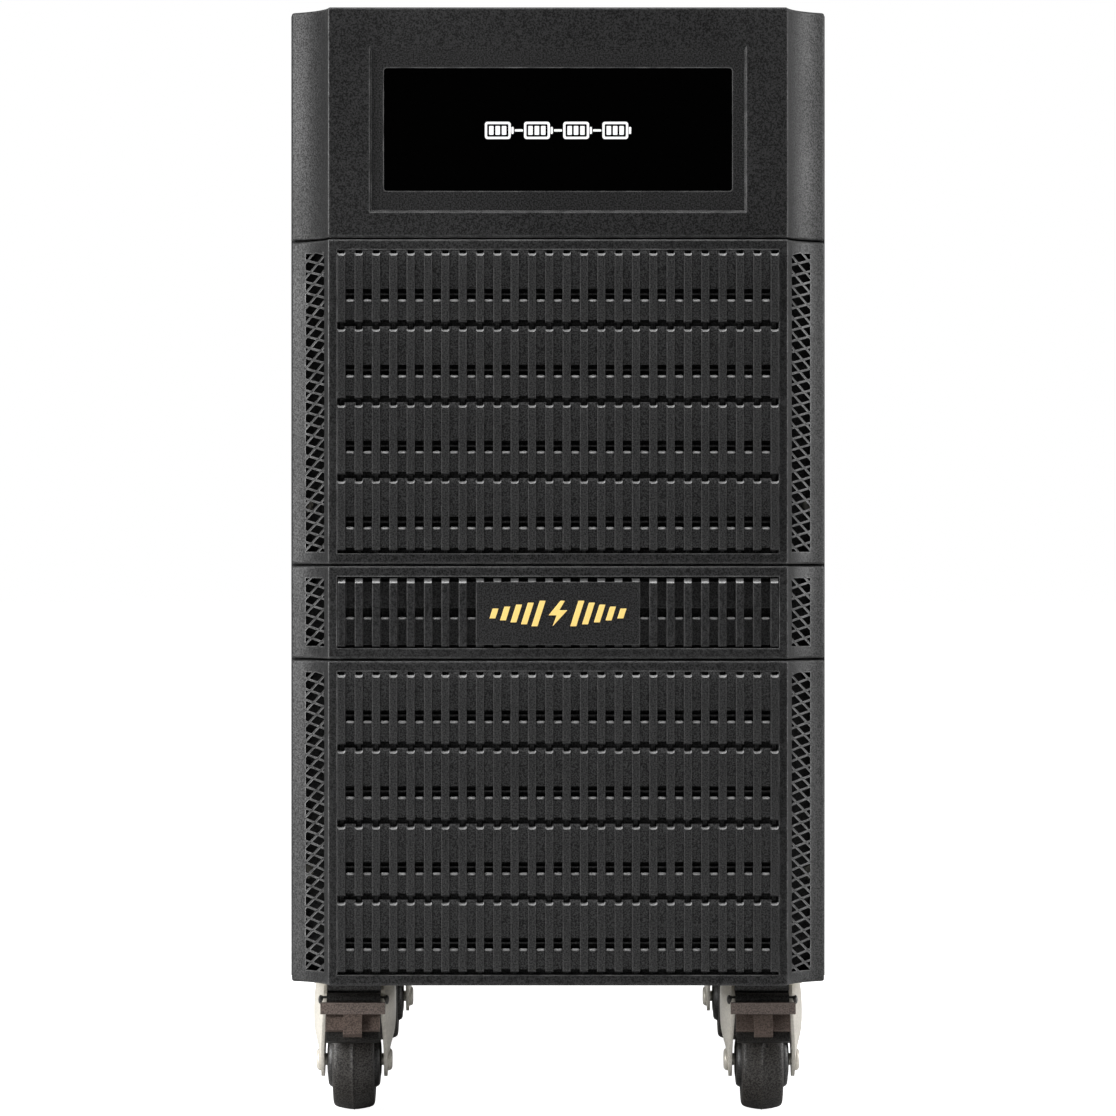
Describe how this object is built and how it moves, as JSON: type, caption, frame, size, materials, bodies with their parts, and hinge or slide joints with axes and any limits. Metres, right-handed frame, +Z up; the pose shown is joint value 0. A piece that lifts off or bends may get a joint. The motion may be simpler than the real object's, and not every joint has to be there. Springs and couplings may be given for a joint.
{
  "type": "tower battery cabinet",
  "caption": "Tall sheet-steel battery cabinet on swivel castors, with a dark moulded fascia of louvred modules, a gloss window and a badge strip.",
  "frame": {"origin": "on the floor, at the centre of the whole object's footprint", "axes": "+Z up, -Y out of the louvred front, +X towards the right side as seen from the front"},
  "size_m": [0.262, 0.528, 0.541],
  "materials": {
    "fascia_plastic": "satin",
    "window_gloss": "gloss",
    "chassis_steel": "satin",
    "shelf_steel": "satin",
    "battery_case": "matte",
    "brass": "satin",
    "cable_jacket": "matte",
    "breaker_case": "matte",
    "toggle_plastic": "gloss",
    "socket_plastic": "matte",
    "filter_mesh": "matte",
    "zinc_steel": "satin",
    "tyre_rubber": "matte",
    "hub_plastic": "matte",
    "pedal_plastic": "matte"
  },
  "bodies": {
    "cabinet": {"base_tray": "chassis_steel", "left_side_panel": "chassis_steel", "right_side_panel": "chassis_steel", "top_cover": "chassis_steel", "rear_panel": "chassis_steel", "front_bulkhead": "chassis_steel", "battery_shelf_1": "shelf_steel", "battery_shelf_2": "shelf_steel", "battery_shelf_3": "shelf_steel", "battery_shelf_4": "shelf_steel", "battery_bank_1": "battery_case", "battery_bank_2": "battery_case", "battery_bank_3": "battery_case", "battery_bank_4": "battery_case", "battery_terminals": "brass", "series_links": "cable_jacket", "bank_hold_downs": "shelf_steel", "output_cables": "cable_jacket", "fuse_block": "breaker_case", "breaker_body": "breaker_case", "dc_outlets": "socket_plastic", "outlet_contacts": "brass", "ground_stud": "brass", "head_bezel": "fascia_plastic", "window_panel": "window_gloss", "upper_fascia_frame": "fascia_plastic", "upper_louvre": "fascia_plastic", "strip_fascia_frame": "fascia_plastic", "strip_louvre": "fascia_plastic", "badge_plate": "fascia_plastic", "lower_fascia_frame": "fascia_plastic", "lower_louvre": "fascia_plastic", "dust_filters": "filter_mesh", "panel_screws": "zinc_steel", "castor_bolts": "zinc_steel", "front_left_plate": "zinc_steel", "front_right_plate": "zinc_steel", "rear_left_plate": "zinc_steel", "rear_right_plate": "zinc_steel"},
    "breaker_lever": {"breaker_toggle": "toggle_plastic"},
    "front_left_swivel": {"front_left_fork": "zinc_steel", "front_left_axle": "zinc_steel", "front_left_pedal_pin": "zinc_steel"},
    "front_left_wheel": {"front_left_tyre": "tyre_rubber", "front_left_hub": "hub_plastic"},
    "front_left_pedal": {"front_left_brake_pedal": "pedal_plastic"},
    "front_right_swivel": {"front_right_fork": "zinc_steel", "front_right_axle": "zinc_steel", "front_right_pedal_pin": "zinc_steel"},
    "front_right_wheel": {"front_right_tyre": "tyre_rubber", "front_right_hub": "hub_plastic"},
    "front_right_pedal": {"front_right_brake_pedal": "pedal_plastic"},
    "rear_left_swivel": {"rear_left_fork": "zinc_steel", "rear_left_axle": "zinc_steel"},
    "rear_left_wheel": {"rear_left_tyre": "tyre_rubber", "rear_left_hub": "hub_plastic"},
    "rear_right_swivel": {"rear_right_fork": "zinc_steel", "rear_right_axle": "zinc_steel"},
    "rear_right_wheel": {"rear_right_tyre": "tyre_rubber", "rear_right_hub": "hub_plastic"}
  },
  "joints": [
    {"name": "breaker_toggle_throw", "type": "hinge", "parent": "cabinet", "child": "breaker_lever", "pos_m": [-0.072, 0.253, 0.5095], "axis": [0, 0, 1], "range_deg": [0, 70]},
    {"name": "front_left_swivel_turn", "type": "hinge", "parent": "cabinet", "child": "front_left_swivel", "pos_m": [-0.101, -0.18, 0.064], "axis": [0, 0, 1], "continuous": true},
    {"name": "front_left_wheel_spin", "type": "hinge", "parent": "front_left_swivel", "child": "front_left_wheel", "pos_m": [-0.101, -0.198, 0.025], "axis": [1, 0, 0], "continuous": true},
    {"name": "front_left_brake_press", "type": "hinge", "parent": "front_left_swivel", "child": "front_left_pedal", "pos_m": [-0.101, -0.21, 0.0555], "axis": [1, 0, 0], "range_deg": [0, 5.5]},
    {"name": "front_right_swivel_turn", "type": "hinge", "parent": "cabinet", "child": "front_right_swivel", "pos_m": [0.101, -0.18, 0.064], "axis": [0, 0, 1], "continuous": true},
    {"name": "front_right_wheel_spin", "type": "hinge", "parent": "front_right_swivel", "child": "front_right_wheel", "pos_m": [0.101, -0.198, 0.025], "axis": [1, 0, 0], "continuous": true},
    {"name": "front_right_brake_press", "type": "hinge", "parent": "front_right_swivel", "child": "front_right_pedal", "pos_m": [0.101, -0.21, 0.0555], "axis": [1, 0, 0], "range_deg": [0, 5.5]},
    {"name": "rear_left_swivel_turn", "type": "hinge", "parent": "cabinet", "child": "rear_left_swivel", "pos_m": [-0.101, 0.205, 0.064], "axis": [0, 0, 1], "continuous": true},
    {"name": "rear_left_wheel_spin", "type": "hinge", "parent": "rear_left_swivel", "child": "rear_left_wheel", "pos_m": [-0.101, 0.187, 0.025], "axis": [1, 0, 0], "continuous": true},
    {"name": "rear_right_swivel_turn", "type": "hinge", "parent": "cabinet", "child": "rear_right_swivel", "pos_m": [0.101, 0.205, 0.064], "axis": [0, 0, 1], "continuous": true},
    {"name": "rear_right_wheel_spin", "type": "hinge", "parent": "rear_right_swivel", "child": "rear_right_wheel", "pos_m": [0.101, 0.187, 0.025], "axis": [1, 0, 0], "continuous": true}
  ]
}
